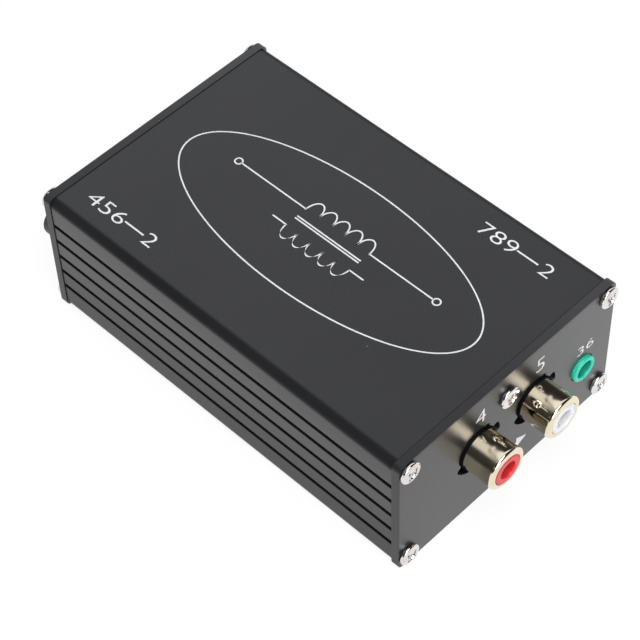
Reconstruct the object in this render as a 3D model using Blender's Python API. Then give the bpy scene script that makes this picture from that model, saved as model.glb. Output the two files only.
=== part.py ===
"""Ground loop isolator for line level audio.

One grooved aluminium extrusion is closed by two end plates. Each plate carries two phono
sockets and a 3.5 mm jack, which stand on one circuit board with two isolating transformers.

Frame: metres, +Z up, the front plate faces -Y, and the origin is under the middle of the case
on the surface that it rests on. The rear end is the front end turned half round about Z.
"""
import math

import bmesh
import bpy
from mathutils import Matrix

mm = 0.001

# Clearances
seat_gap = 0.3 * mm
fit_gap = 0.2 * mm
core_gap = 0.1 * mm
screw_play = 0.4 * mm
pin_play = 0.3 * mm

# Case extrusion
case_width = 52.0 * mm
case_height = 27.75 * mm
case_length = 80.0 * mm
case_corner = 1.75 * mm
flat_wall = 1.5 * mm
side_wall = 2.1 * mm
groove_count = 5
groove_pitch = 3.95 * mm
groove_width = 0.76 * mm
groove_depth = 0.72 * mm
lowest_groove = 5.31 * mm

# Screw channels in the case's corners
channel_side_inset = 2.0 * mm
channel_low_inset = 2.55 * mm
channel_high_inset = 2.1 * mm
channel_wall = 0.95 * mm
channel_slot = 1.1 * mm
low_channel_mouth = 135.0
high_channel_mouth = 225.0

# Screws, all of one kind
screw_radius = 1.0 * mm
screw_length = 6.5 * mm
screw_point = 0.5 * mm
head_radius = 2.1 * mm
head_height = 1.1 * mm
head_rim = 0.65 * mm
head_seat = 0.1 * mm
recess_reach = 1.3 * mm
recess_width = 0.6 * mm
recess_depth = 0.75 * mm
crown_angles = (0, 35, 65, 90)
screw_turn = 23.0

# End plates
plate_thickness = 1.6 * mm
plate_overhang = 0.15 * mm
plate_corner = 1.1 * mm

# Circuit board and the ribs that hold it
board_thickness = 1.6 * mm
board_lift = 4.95 * mm
board_end_gap = 0.8 * mm
rib_depth = 1.5 * mm
rib_height = 1.0 * mm
tail_reach = 1.3 * mm

# Phono sockets
phono_pitch = 13.9 * mm
phono_height = 7.2 * mm
barrel_radius = 4.0 * mm
neck_radius = 3.5 * mm
insulator_radius = 2.9 * mm
insulator_play = 0.15 * mm
boss_radius = 4.05 * mm
boss_out = 0.6 * mm
barrel_depth = 5.4 * mm
flare_length = 0.5 * mm
rim_radius = 4.15 * mm
rim_out = 6.05 * mm
lip_rise = 0.5 * mm
lip_angles = (0, 30, 60, 90)
insulator_rise = 0.1 * mm
insulator_edge = 0.15 * mm
mouth_radius = 1.85 * mm
throat_radius = 1.7 * mm
mouth_depth = 0.3 * mm
throat_length = 2.0 * mm
stem_radius = 2.6 * mm
stem_reach = 0.5 * mm
vent_radius = 0.5 * mm
vent_depth = 0.4 * mm
vent_out = 2.8 * mm
vent_angles = (60.0, 131.0)

# Panel holes for the phono sockets: round, with two notches, two teeth and a small scoop.
# Each step is (from angle, to angle, radius), with the angles in degrees from +X towards +Z.
panel_hole_radius = 4.4 * mm
panel_hole_steps = (
    (-3, 26, 5.45 * mm),
    (28, 50, 4.25 * mm),
    (52, 64, 4.7 * mm),
    (-168, -157, 4.25 * mm),
    (-155, -108, 5.45 * mm),
)
panel_step_facets = 4
panel_step_ramp = 1.0

# Black housing behind each pair of phono sockets
housing_depth = 9.0 * mm
housing_side = 1.8 * mm
housing_top = 1.3 * mm
lug_width = 5.6 * mm
lug_depth = 4.0 * mm
lug_step = 0.3 * mm
lug_screw_drop = 5.5 * mm

# Centre contacts, their tails, and the ground tabs of the shells
plug_pin_radius = 1.6 * mm
contact_wall = 0.36 * mm
contact_floor = 0.6 * mm
contact_slit = 0.5 * mm
contact_slit_length = 4.5 * mm
tail_width = 1.2 * mm
tail_thickness = 0.5 * mm
tail_stand_off = 0.6 * mm
tab_width = 2.4 * mm
tab_thickness = 0.4 * mm
tab_inset = 0.15 * mm

# 3.5 mm jack
jack_width = 6.2 * mm
jack_body_height = 6.1 * mm
jack_body_corner = 0.4 * mm
jack_depth = 12.0 * mm
jack_to_phonos = 4.0 * mm
jack_height = 3.3 * mm
collar_radius = 2.6 * mm
collar_out = 0.8 * mm
collar_edge = 0.3 * mm
collar_play = 0.2 * mm
jack_bore_radius = 1.75 * mm
jack_mouth_radius = 1.9 * mm
jack_mouth_depth = 0.3 * mm
jack_back_wall = 1.2 * mm
blade_insets = (1.6 * mm, 5.6 * mm, 9.4 * mm)
blade_width = 1.6 * mm
blade_foot_width = 0.9 * mm
blade_thickness = 0.3 * mm
blade_dip = 0.25 * mm

# Round cap on the rear jack
cap_radius = 3.4 * mm
cap_out = 7.4 * mm
cap_edge = 0.3 * mm
cap_stem_gap = 0.25 * mm
cap_stem_length = 6.0 * mm

# Transformers
transformer_pitch = 19.2 * mm
core_leg = 2.2 * mm
core_centre = 4.0 * mm
core_window = 3.5 * mm
core_yoke = 2.2 * mm
core_window_height = 8.4 * mm
core_stack = 6.4 * mm
core_lift = 0.3 * mm
bobbin_wall = 0.7 * mm
flange_thickness = 0.8 * mm
bobbin_reach = 3.2 * mm
rail_inset = 0.2 * mm
winding_inset = 0.4 * mm
winding_corner = 1.2 * mm
coil_pin_radius = 0.3 * mm
coil_pin_spread = 6.4 * mm
coil_pin_depth = 1.6 * mm

# Facets
round_facets = 26
inner_facets = 20
small_facets = 14
pin_facets = 8
corner_facets = 4
hole_facets = 40
channel_facets = 3
sharp_angle = 32.0

# Places worked out from the sizes above. "Out" is measured from a plate's outer face.
half_width = case_width / 2
case_floor = plate_overhang
case_top = case_floor + case_height
face = case_length / 2 + plate_thickness
inner_half = half_width - side_wall
inner_floor = case_floor + flat_wall
inner_top = case_top - flat_wall
channel_radius = screw_radius + fit_gap
channel_outer = channel_radius + channel_wall
channel_x = half_width - channel_side_inset
channel_low = case_floor + channel_low_inset
channel_high = case_top - channel_high_inset
board_bottom = inner_floor + board_lift
board_top = board_bottom + board_thickness
tail_bottom = board_bottom - tail_reach
deck = board_top + seat_gap
rib_x = inner_half - rib_depth
housing_front = -(plate_thickness + seat_gap)
housing_back = housing_front - housing_depth
barrel_back = housing_front - barrel_depth
jack_x = rib_x - seat_gap - jack_width / 2
jack_z = board_top + jack_height
jack_back = housing_front - jack_depth
housing_half = phono_pitch / 2 + neck_radius + fit_gap + housing_side
phono_pair_x = jack_x - jack_width / 2 - jack_to_phonos - housing_half
phono_xs = {"red": phono_pair_x - phono_pitch / 2, "white": phono_pair_x + phono_pitch / 2}
phono_z = board_top + phono_height
shell_bore = insulator_radius + insulator_play
insulator_out = rim_out + lip_rise + insulator_rise
lug_screw_z = case_top - lug_screw_drop
contact_radius = plug_pin_radius + contact_wall
contact_bore = contact_radius + fit_gap
contact_back = housing_back + stem_reach
tail_back = housing_back - stem_reach - tail_stand_off
tab_low = barrel_back + tab_inset
tab_high = tab_low + tab_thickness
core_low = deck + core_lift
core_high = core_low + core_window_height + 2 * core_yoke
window_low = core_low + core_yoke
window_high = core_high - core_yoke
flange_x = core_centre / 2 + core_window - fit_gap
flange_y = core_stack / 2 + bobbin_reach
coil_pin_y = (core_stack / 2 + fit_gap + flange_y) / 2


def material(name, colour, roughness, metallic=0.0):
    made = bpy.data.materials.new(name)
    made.use_nodes = True
    shader = made.node_tree.nodes["Principled BSDF"]
    shader.inputs["Base Color"].default_value = (*colour, 1.0)
    shader.inputs["Roughness"].default_value = roughness
    shader.inputs["Metallic"].default_value = metallic
    return made


def to_mesh(bm, name):
    bmesh.ops.recalc_face_normals(bm, faces=bm.faces)
    mesh = bpy.data.meshes.new(name)
    bm.to_mesh(mesh)
    bm.free()
    return mesh


def place(name, mesh, finish, turned_round=False):
    """Put a mesh in the scene as a named piece, as modelled or turned half round about Z."""
    piece = bpy.data.objects.new(name, mesh)
    bpy.context.collection.objects.link(piece)
    piece.rotation_euler.z = math.pi if turned_round else 0.0
    if not mesh.materials:
        mesh.materials.append(finish)
        mesh.shade_smooth()
        mesh.set_sharp_from_angle(angle=math.radians(sharp_angle))
    return piece


def combine(name, base, others, operation):
    """Cut meshes from a base mesh, or join them to it, and return the resulting mesh."""
    body = bpy.data.objects.new(name, base)
    bpy.context.collection.objects.link(body)
    tools = []
    for other in others:
        tool = bpy.data.objects.new(name + "_tool", other)
        bpy.context.collection.objects.link(tool)
        step = body.modifiers.new("step", "BOOLEAN")
        step.operation = operation
        step.object = tool
        tools.append(tool)
    bpy.context.view_layer.update()
    result = bpy.data.meshes.new_from_object(body.evaluated_get(bpy.context.evaluated_depsgraph_get()))
    result.name = name
    result.materials.clear()
    for spent in (body, *tools):
        bpy.data.objects.remove(spent)
    return result


def cut(name, base, others):
    return combine(name, base, others, "DIFFERENCE")


def join(name, base, others):
    return combine(name, base, others, "UNION")


def arc(centre_a, centre_b, radius, start, end, steps):
    """Points along an arc from one angle to another, in degrees."""
    points = []
    for i in range(steps + 1):
        angle = math.radians(start + (end - start) * i / steps)
        points.append((centre_a + radius * math.cos(angle), centre_b + radius * math.sin(angle)))
    return points


def circle(centre_a, centre_b, radius, facets=small_facets):
    return arc(centre_a, centre_b, radius, 0, 360, facets)[:-1]


def rectangle(a0, a1, b0, b1):
    return [(a0, b0), (a1, b0), (a1, b1), (a0, b1)]


def rounded_rectangle(a0, a1, b0, b1, radius):
    corners = ((a1, b0, -90), (a1, b1, 0), (a0, b1, 90), (a0, b0, 180))
    middle_a, middle_b = (a0 + a1) / 2, (b0 + b1) / 2
    outline = []
    for a, b, start in corners:
        centre_a = a - math.copysign(radius, a - middle_a)
        centre_b = b - math.copysign(radius, b - middle_b)
        outline += arc(centre_a, centre_b, radius, start, start + 90, corner_facets)
    return outline


def prism(name, loops, start, end, axis="Y"):
    """Extrude an outline, with any further loops as holes, from start to end along an axis."""
    spots = {"X": lambda a, b, t: (t, a, b), "Y": lambda a, b, t: (a, t, b), "Z": lambda a, b, t: (a, b, t)}
    bm = bmesh.new()
    rim = []
    for loop in loops:
        ring = [bm.verts.new(spots[axis](a, b, start)) for a, b in loop]
        rim += [bm.edges.new((ring[i - 1], ring[i])) for i in range(len(ring))]
    bmesh.ops.triangle_fill(bm, use_beauty=True, edges=rim)
    raised = bmesh.ops.extrude_face_region(bm, geom=bm.faces[:] + bm.edges[:] + bm.verts[:],
                                           use_keep_orig=True)
    top = [item for item in raised["geom"] if isinstance(item, bmesh.types.BMVert)]
    bmesh.ops.translate(bm, verts=top, vec=spots[axis](0, 0, end - start))
    return to_mesh(bm, name)


def box(name, x_span, y_span, z_span):
    return prism(name, [rectangle(*x_span, *y_span)], *z_span, axis="Z")


def turned(name, profile, facets, x=0.0, z=0.0, on_axis=False):
    """Turn a profile of (radius, out) about a socket's axis. A ring's profile closes on itself."""
    bm = bmesh.new()
    verts = [bm.verts.new((radius, -face - out, 0)) for radius, out in profile]
    edges = [bm.edges.new((verts[i], verts[i + 1])) for i in range(len(verts) - 1)]
    if not on_axis:
        edges.append(bm.edges.new((verts[-1], verts[0])))
    bmesh.ops.spin(bm, geom=verts + edges, cent=(0, 0, 0), axis=(0, 1, 0), dvec=(0, 0, 0),
                   angle=2 * math.pi, steps=facets, use_merge=True)
    bmesh.ops.remove_doubles(bm, verts=bm.verts, dist=1e-7)
    bmesh.ops.translate(bm, verts=bm.verts, vec=(x, 0, z))
    return to_mesh(bm, name)


def out_span(low, high):
    """Turn distances out of the front plate into a span along Y."""
    return (-face - high, -face - low)


# Case and end plates

def case_outer_half():
    """Right half of the case's outline, from the middle of the floor to the middle of the top."""
    outline = [(0, case_floor)]
    outline += arc(half_width - case_corner, case_floor + case_corner, case_corner, -90, 0, corner_facets)
    for i in range(groove_count):
        z = case_floor + lowest_groove + i * groove_pitch
        low, high, floor = z - groove_width / 2, z + groove_width / 2, half_width - groove_depth
        outline += [(half_width, low), (floor, low), (floor, high), (half_width, high)]
    outline += arc(half_width - case_corner, case_top - case_corner, case_corner, 0, 90, corner_facets)
    return outline + [(0, case_top)]


def screw_channel(centre_z, mouth_angle, start_angle, end_angle):
    """Outline of a C shaped screw channel in the right half, in order from floor to top."""
    outer_turn = math.degrees(math.asin(channel_slot / 2 / channel_outer))
    inner_turn = math.degrees(math.asin(channel_slot / 2 / channel_radius))
    points = arc(channel_x, centre_z, channel_outer, start_angle, mouth_angle + outer_turn, channel_facets)
    points += arc(channel_x, centre_z, channel_radius, mouth_angle + inner_turn,
                  mouth_angle - inner_turn + 360, small_facets)
    return points + arc(channel_x, centre_z, channel_outer, mouth_angle - outer_turn, end_angle,
                        channel_facets)


def case_inner_half():
    """Right half of the cavity: screw channels in the corners and ribs for the board."""
    wall_turn = math.degrees(math.acos((inner_half - channel_x) / channel_outer))
    low_turn = math.degrees(math.asin((inner_floor - channel_low) / channel_outer))
    high_turn = math.degrees(math.asin((inner_top - channel_high) / channel_outer))
    outline = [(0, inner_floor)]
    outline += screw_channel(channel_low, low_channel_mouth, 180 - low_turn, wall_turn)
    slot_low, slot_high = board_bottom - seat_gap, board_top + seat_gap
    for low, high in ((slot_low - rib_height, slot_low), (slot_high, slot_high + rib_height)):
        outline += [(inner_half, low), (rib_x, low), (rib_x, high), (inner_half, high)]
    outline += screw_channel(channel_high, high_channel_mouth, 360 - wall_turn, 180 - high_turn)
    return outline + [(0, inner_top)]


def both_halves(right_half):
    """Close a right half outline, which starts and ends on the middle, with its mirror image."""
    return right_half + [(-x, z) for x, z in reversed(right_half[1:-1])]


def make_case(finish):
    loops = [both_halves(case_outer_half()), both_halves(case_inner_half())]
    place("case_shell", prism("case_shell", loops, -case_length / 2, case_length / 2), finish)


def phono_hole(x):
    """Hole in a plate for one phono socket, with its notches, teeth and scoop."""
    steps = sorted((start % 360, start % 360 + end - start, radius) for start, end, radius in panel_hole_steps)
    next_starts = [step[0] for step in steps[1:]] + [steps[0][0] + 360]
    points = []
    for (start, end, radius), next_start in zip(steps, next_starts):
        points += arc(x, phono_z, radius, start, end, panel_step_facets)
        plain_start, plain_end = end + panel_step_ramp, next_start - panel_step_ramp
        if plain_end > plain_start:
            facets = math.ceil((plain_end - plain_start) / 360 * hole_facets)
            points += arc(x, phono_z, panel_hole_radius, plain_start, plain_end, facets)
    return points


def corner_screw_spots():
    return [(side * channel_x, z) for z in (channel_low, channel_high) for side in (-1, 1)]


def make_plate():
    reach = half_width + plate_overhang
    loops = [rounded_rectangle(-reach, reach, 0, case_top + plate_overhang, plate_corner)]
    for x, z in corner_screw_spots() + [(phono_pair_x, lug_screw_z)]:
        loops.append(circle(x, z, screw_radius + screw_play))
    loops += [phono_hole(x) for x in phono_xs.values()]
    loops.append(circle(jack_x, jack_z, collar_radius + collar_play, round_facets))
    return prism("end_plate", loops, *out_span(-plate_thickness, 0))


# Screws

def make_screw(name, x, z, turn):
    crown = [(head_radius * math.sin(math.radians(a)),
              head_rim + (head_height - head_rim) * math.cos(math.radians(a))) for a in crown_angles]
    profile = [(radius, head_seat + out) for radius, out in crown]
    profile += [(head_radius, head_seat), (screw_radius, head_seat),
                (screw_radius, screw_point - screw_length), (screw_radius - screw_point, -screw_length),
                (0, -screw_length)]
    body = turned(name, profile, small_facets, on_axis=True)
    arms = []
    for across, along in ((recess_reach, recess_width / 2), (recess_width / 2, recess_reach)):
        arms.append(box(name, (-across, across), out_span(head_seat + head_height - recess_depth,
                                                          head_height + recess_depth), (-along, along)))
    screw = cut(name, body, [join(name, arms[0], arms[1:])])
    bm = bmesh.new()
    bm.from_mesh(screw)
    bmesh.ops.rotate(bm, verts=bm.verts, cent=(0, 0, 0), matrix=turn_about_y(turn))
    bmesh.ops.translate(bm, verts=bm.verts, vec=(x, 0, z))
    return to_mesh(bm, name)


def turn_about_y(degrees):
    return Matrix.Rotation(math.radians(degrees), 3, "Y")


# Phono sockets

def make_phono_housing():
    roof = phono_z + neck_radius + fit_gap + housing_top
    left, right = phono_pair_x - housing_half, phono_pair_x + housing_half
    lug_left, lug_right = phono_pair_x - lug_width / 2, phono_pair_x + lug_width / 2
    crown = arc(phono_pair_x, lug_screw_z, lug_width / 2, 0, 180, small_facets)
    outline = [(left, deck), (right, deck), (right, roof), (lug_right, roof), *crown, (lug_left, roof),
               (left, roof)]
    stem_hole = stem_radius + fit_gap
    loops = [outline, circle(phono_pair_x, lug_screw_z, screw_radius + fit_gap)]
    loops += [circle(x, phono_z, stem_hole, inner_facets) for x in phono_xs.values()]
    block = prism("phono_housing", loops, *out_span(housing_back, housing_front))
    bosses = []
    cuts = [box("behind_lug", (left - seat_gap, right + seat_gap),
                out_span(housing_back - seat_gap, housing_front - lug_depth), (roof - lug_step, case_top))]
    for x in phono_xs.values():
        bore = neck_radius + fit_gap
        floor = barrel_back - seat_gap
        root = housing_front - fit_gap
        boss = [(bore, root), (boss_radius, root), (boss_radius, boss_out), (bore, boss_out)]
        bosses.append(turned("boss", boss, round_facets, x, phono_z))
        well = [(0, 0), (bore, 0), (bore, floor), (0, floor)]
        cuts.append(turned("well", well, round_facets, x, phono_z, on_axis=True))
        slot = tab_width / 2 + fit_gap
        cuts.append(box("tab_slot", (x - slot, x + slot), out_span(tab_low - fit_gap, tab_high + fit_gap),
                        (deck - seat_gap, phono_z - shell_bore)))
    return join("phono_housing", cut("phono_housing", block, cuts), bosses)


def make_phono_shell(name, x, vent_angle):
    step = boss_out + fit_gap
    profile = [(shell_bore, barrel_back), (neck_radius, barrel_back), (neck_radius, step),
               (barrel_radius, step), (barrel_radius, rim_out - flare_length)]
    for angle in lip_angles:
        turn = math.radians(angle)
        profile.append((shell_bore + (rim_radius - shell_bore) * math.cos(turn), rim_out + lip_rise * math.sin(turn)))
    shell = turned(name, profile, round_facets, x, phono_z)
    half = tab_width / 2
    tab = box("tab", (x - half, x + half), out_span(tab_low, tab_high),
              (tail_bottom, phono_z - (neck_radius + shell_bore) / 2))
    shell = join(name, shell, [tab])
    return cut(name, shell, [vent_drill(x, vent_angle)])


def vent_drill(x, angle):
    """A blunt drill that enters the barrel's side at an angle from +X towards +Z."""
    bm = bmesh.new()
    bmesh.ops.create_cone(bm, cap_ends=True, segments=pin_facets, radius1=vent_radius / 2,
                          radius2=vent_radius, depth=2 * vent_depth)
    bmesh.ops.translate(bm, verts=bm.verts, vec=(0, 0, barrel_radius))
    bmesh.ops.rotate(bm, verts=bm.verts, cent=(0, 0, 0), matrix=turn_about_y(90 - angle))
    bmesh.ops.translate(bm, verts=bm.verts, vec=(x, -face - vent_out, phono_z))
    return to_mesh(bm, "drill")


def make_insulator(name, x):
    throat = insulator_out - mouth_depth
    shoulder = barrel_back + fit_gap
    back = housing_back - stem_reach
    profile = [(mouth_radius, insulator_out), (insulator_radius - insulator_edge, insulator_out),
               (insulator_radius, insulator_out - insulator_edge), (insulator_radius, shoulder),
               (stem_radius, shoulder), (stem_radius, back), (contact_bore, back),
               (contact_bore, throat - throat_length), (throat_radius, throat - throat_length),
               (throat_radius, throat)]
    return turned(name, profile, inner_facets, x, phono_z)


def make_centre_contact(name, x):
    front = insulator_out - mouth_depth - throat_length - fit_gap
    cup = turned(name, [(0, contact_back), (contact_radius, contact_back), (contact_radius, front),
                        (plug_pin_radius, front), (plug_pin_radius, contact_back + contact_floor),
                        (0, contact_back + contact_floor)], small_facets, x, phono_z, on_axis=True)
    slit = box("slit", (x - contact_slit / 2, x + contact_slit / 2),
               out_span(front - contact_slit_length, front + fit_gap),
               (phono_z - 2 * contact_radius, phono_z + 2 * contact_radius))
    half = tail_width / 2
    leg, inside = out_span(tail_back, tail_back + tail_thickness), -face - contact_back - contact_floor / 2
    low, high = phono_z - tail_thickness / 2, phono_z + tail_thickness / 2
    bend = [(leg[0], low), (leg[0], tail_bottom), (leg[1], tail_bottom), (leg[1], high), (inside, high),
            (inside, low)]
    return join(name, cut(name, cup, [slit]), [prism("tail", [bend], x - half, x + half, axis="X")])


# 3.5 mm jack

def blade_outs():
    return [housing_front - inset for inset in blade_insets]


def make_jack_body(name):
    half = jack_width / 2
    block = prism(name, [rounded_rectangle(jack_x - half, jack_x + half, deck, deck + jack_body_height,
                                           jack_body_corner)], *out_span(jack_back, housing_front))
    root = housing_front - jack_back_wall
    collar = turned("collar", [(0, root), (collar_radius, root), (collar_radius, collar_out - collar_edge),
                               (collar_radius - collar_edge, collar_out), (0, collar_out)],
                    round_facets, jack_x, jack_z, on_axis=True)
    throat = collar_out - jack_mouth_depth
    end = jack_back + jack_back_wall
    bore = turned("bore", [(0, collar_out + fit_gap), (jack_mouth_radius, collar_out + fit_gap),
                           (jack_mouth_radius, collar_out), (jack_bore_radius, throat),
                           (jack_bore_radius, end), (0, end)], round_facets, jack_x, jack_z, on_axis=True)
    slots = []
    for out in blade_outs():
        slot = blade_width / 2 + fit_gap
        slots.append(box("slot", (jack_x - slot, jack_x + slot),
                         out_span(out - blade_thickness - fit_gap, out + fit_gap),
                         (deck - seat_gap, jack_z - jack_bore_radius + blade_width)))
    return cut(name, join(name, block, [collar]), [bore, *slots])


def make_blade(name, out):
    """A contact blade: a narrow foot through the board, and a wide round top in the bore's floor."""
    wide, foot = blade_width / 2, blade_foot_width / 2
    shoulder = deck + seat_gap
    top = jack_z - jack_bore_radius + blade_dip
    crown = arc(jack_x, top - wide, wide, 0, 180, small_facets // 2)
    outline = [(jack_x - foot, tail_bottom), (jack_x + foot, tail_bottom), (jack_x + foot, shoulder),
               (jack_x + wide, shoulder), *crown, (jack_x - wide, shoulder), (jack_x - foot, shoulder)]
    return prism(name, [outline], *out_span(out - blade_thickness, out))


def make_rear_cap(name):
    corner = arc(cap_radius - cap_edge, cap_out - cap_edge, cap_edge, 90, 0, corner_facets)
    stem = jack_bore_radius - cap_stem_gap
    well = collar_radius + cap_stem_gap
    roof = collar_out + seat_gap
    profile = [(0, cap_out), *corner, (cap_radius, seat_gap), (well, seat_gap), (well, roof), (stem, roof),
               (stem, -cap_stem_length), (0, -cap_stem_length)]
    return turned(name, profile, round_facets, jack_x, jack_z, on_axis=True)


# Circuit board

def make_board(finish):
    half = inner_half - seat_gap
    reach = case_length / 2 - board_end_gap
    loops = [rectangle(-half, half, -reach, reach)]
    for turn in (1, -1):
        for x in phono_xs.values():
            loops.append(board_slot(turn, x, tail_width / 2, tail_back, tail_back + tail_thickness))
            loops.append(board_slot(turn, x, tab_width / 2, tab_low, tab_high))
        for out in blade_outs():
            loops.append(board_slot(turn, jack_x, blade_foot_width / 2, out - blade_thickness, out))
    for middle in transformer_xs():
        for x, y in coil_pin_spots(middle):
            loops.append(circle(x, y, coil_pin_radius + pin_play, pin_facets))
    place("circuit_board", prism("circuit_board", loops, board_bottom, board_top, axis="Z"), finish)


def board_slot(turn, x, half, low, high):
    near, far = out_span(low - pin_play, high + pin_play)
    spots = rectangle(x - half - pin_play, x + half + pin_play, near, far)
    return [(turn * a, turn * b) for a, b in spots]


# Transformers

def transformer_xs():
    return (-transformer_pitch / 2, transformer_pitch / 2)


def coil_pin_spots(middle):
    across = coil_pin_spread / 2
    return [(middle + side * across, end * coil_pin_y) for end in (-1, 1) for side in (-1, 1)]


def core_half_outline(middle, seam, yoke_edge, window_edge):
    centre, window = core_centre / 2, core_centre / 2 + core_window
    outside = window + core_leg
    right = [(centre, seam), (centre, window_edge), (window, window_edge), (window, seam),
             (outside, seam), (outside, yoke_edge)]
    return [(middle + x, z) for x, z in right] + [(middle - x, z) for x, z in reversed(right)]


def make_bobbin(name, middle):
    hole_x, hole_y = core_centre / 2 + fit_gap, core_stack / 2 + fit_gap
    tube_x, tube_y = hole_x + bobbin_wall, hole_y + bobbin_wall
    low, high = window_low + fit_gap, window_high - fit_gap
    tube = box(name, (middle - tube_x, middle + tube_x), (-tube_y, tube_y),
               (low + flange_thickness / 2, high - flange_thickness / 2))
    wide = (middle - flange_x, middle + flange_x)
    parts = [box("flange", wide, (-flange_y, flange_y), (low, low + flange_thickness)),
             box("flange", wide, (-flange_y, flange_y), (high - flange_thickness, high))]
    rail_x = flange_x - rail_inset
    for end in (-1, 1):
        near, far = sorted((end * (hole_y + rail_inset), end * (flange_y - rail_inset)))
        parts.append(box("rail", (middle - rail_x, middle + rail_x), (near, far),
                         (deck, low + flange_thickness / 2)))
    holes = [box("hole", (middle - hole_x, middle + hole_x), (-hole_y, hole_y),
                 (low - fit_gap, high + fit_gap))]
    for x, y in coil_pin_spots(middle):
        holes.append(prism("pin_hole", [circle(x, y, coil_pin_radius + fit_gap, pin_facets)], deck - fit_gap,
                           deck + coil_pin_depth + fit_gap, axis="Z"))
    return cut(name, join(name, tube, parts), holes)


def make_winding(name, middle):
    inner_x = core_centre / 2 + 2 * fit_gap + bobbin_wall
    inner_y = core_stack / 2 + 2 * fit_gap + bobbin_wall
    outer_x, outer_y = flange_x - winding_inset, flange_y - winding_inset
    loops = [rounded_rectangle(middle - outer_x, middle + outer_x, -outer_y, outer_y, winding_corner),
             rectangle(middle - inner_x, middle + inner_x, -inner_y, inner_y)]
    return prism(name, loops, window_low + flange_thickness + 2 * fit_gap,
                 window_high - flange_thickness - 2 * fit_gap, axis="Z")


def make_transformer(name, middle, finishes):
    seam = (core_low + core_high) / 2
    stack = (-core_stack / 2, core_stack / 2)
    upper = core_half_outline(middle, seam + core_gap / 2, core_high, window_high)
    lower = core_half_outline(middle, seam - core_gap / 2, core_low, window_low)
    place(name + "_core_upper", prism(name, [upper], *stack), finishes["core"])
    place(name + "_core_lower", prism(name, [lower], *stack), finishes["core"])
    place(name + "_bobbin", make_bobbin(name, middle), finishes["black_moulding"])
    place(name + "_winding", make_winding(name, middle), finishes["tape"])
    for number, (x, y) in enumerate(coil_pin_spots(middle), 1):
        pin = prism(name, [circle(x, y, coil_pin_radius, pin_facets)], tail_bottom,
                    deck + coil_pin_depth, axis="Z")
        place(f"{name}_pin_{number}", pin, finishes["tinned"])


# The whole object

def make_finishes():
    return {
        "anodised": material("black_anodised_aluminium", (0.045, 0.046, 0.048), 0.42, 0.35),
        "screw": material("nickel_plated_steel", (0.72, 0.70, 0.68), 0.22, 1.0),
        "gold": material("pale_gold_plating", (0.80, 0.68, 0.45), 0.16, 1.0),
        "red": material("red_moulding", (0.70, 0.02, 0.03), 0.4),
        "white": material("white_moulding", (0.82, 0.83, 0.86), 0.4),
        "green": material("green_moulding", (0.03, 0.55, 0.38), 0.38),
        "black_moulding": material("black_moulding", (0.015, 0.015, 0.016), 0.5),
        "tinned": material("tinned_contact", (0.70, 0.69, 0.66), 0.3, 1.0),
        "board": material("board_laminate", (0.02, 0.16, 0.06), 0.45),
        "core": material("core_iron", (0.12, 0.12, 0.125), 0.5, 0.6),
        "tape": material("yellow_tape", (0.75, 0.55, 0.06), 0.5),
    }


def make_end_meshes():
    """Everything that both ends have, as (name, mesh, finish)."""
    pieces = [("end_plate", make_plate(), "anodised")]
    for number, (x, z) in enumerate(corner_screw_spots(), 1):
        name = f"corner_screw_{number}"
        pieces.append((name, make_screw(name, x, z, screw_turn * number), "screw"))
    pieces.append(("socket_screw", make_screw("socket_screw", phono_pair_x, lug_screw_z, 0), "screw"))
    pieces.append(("phono_housing", make_phono_housing(), "black_moulding"))
    for (colour, x), vent_angle in zip(phono_xs.items(), vent_angles):
        pieces.append((f"phono_shell_{colour}", make_phono_shell("phono_shell", x, vent_angle), "gold"))
        pieces.append((f"phono_insulator_{colour}", make_insulator("phono_insulator", x), colour))
        pieces.append((f"phono_contact_{colour}", make_centre_contact("phono_contact", x), "tinned"))
    pieces.append(("jack_body", make_jack_body("jack_body"), "green"))
    for role, out in zip(("sleeve", "ring", "tip"), blade_outs()):
        pieces.append((f"jack_{role}_contact", make_blade("jack_contact", out), "tinned"))
    return pieces


def main():
    for old in list(bpy.data.objects):
        bpy.data.objects.remove(old)
    finishes = make_finishes()
    make_case(finishes["anodised"])
    for name, mesh, finish in make_end_meshes():
        place("front_" + name, mesh, finishes[finish])
        place("rear_" + name, mesh, finishes[finish], turned_round=True)
    place("rear_jack_cap", make_rear_cap("rear_jack_cap"), finishes["black_moulding"], turned_round=True)
    make_board(finishes["board"])
    for side, middle in zip(("left", "right"), transformer_xs()):
        make_transformer(f"{side}_transformer", middle, finishes)


main()
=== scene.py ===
import math

import bmesh
import bpy
from mathutils import Matrix, Vector


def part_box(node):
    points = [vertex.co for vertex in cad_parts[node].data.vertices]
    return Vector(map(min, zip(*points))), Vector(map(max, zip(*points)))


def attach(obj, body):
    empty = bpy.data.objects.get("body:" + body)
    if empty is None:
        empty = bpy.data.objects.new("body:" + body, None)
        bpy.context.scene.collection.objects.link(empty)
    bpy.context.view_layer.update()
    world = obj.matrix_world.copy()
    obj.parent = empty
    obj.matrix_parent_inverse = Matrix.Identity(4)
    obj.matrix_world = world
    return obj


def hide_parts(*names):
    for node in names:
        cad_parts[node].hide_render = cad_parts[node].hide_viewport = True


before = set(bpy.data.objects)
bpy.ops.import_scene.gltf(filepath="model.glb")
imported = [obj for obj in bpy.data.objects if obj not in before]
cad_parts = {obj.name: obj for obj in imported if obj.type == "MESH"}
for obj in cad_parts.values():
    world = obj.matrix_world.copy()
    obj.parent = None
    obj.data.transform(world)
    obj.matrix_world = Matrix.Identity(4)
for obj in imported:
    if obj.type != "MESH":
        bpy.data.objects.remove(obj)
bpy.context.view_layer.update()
mm = 0.001
halfTurn = Matrix.Rotation(math.pi, 4, "Z")  # the rear end is the front end turned half round
ends = (("front", Matrix.Identity(4)), ("rear", halfTurn))
plateFace = 41.6  # mm from the middle to each plate's outer face
caseTop = 27.9


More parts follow.
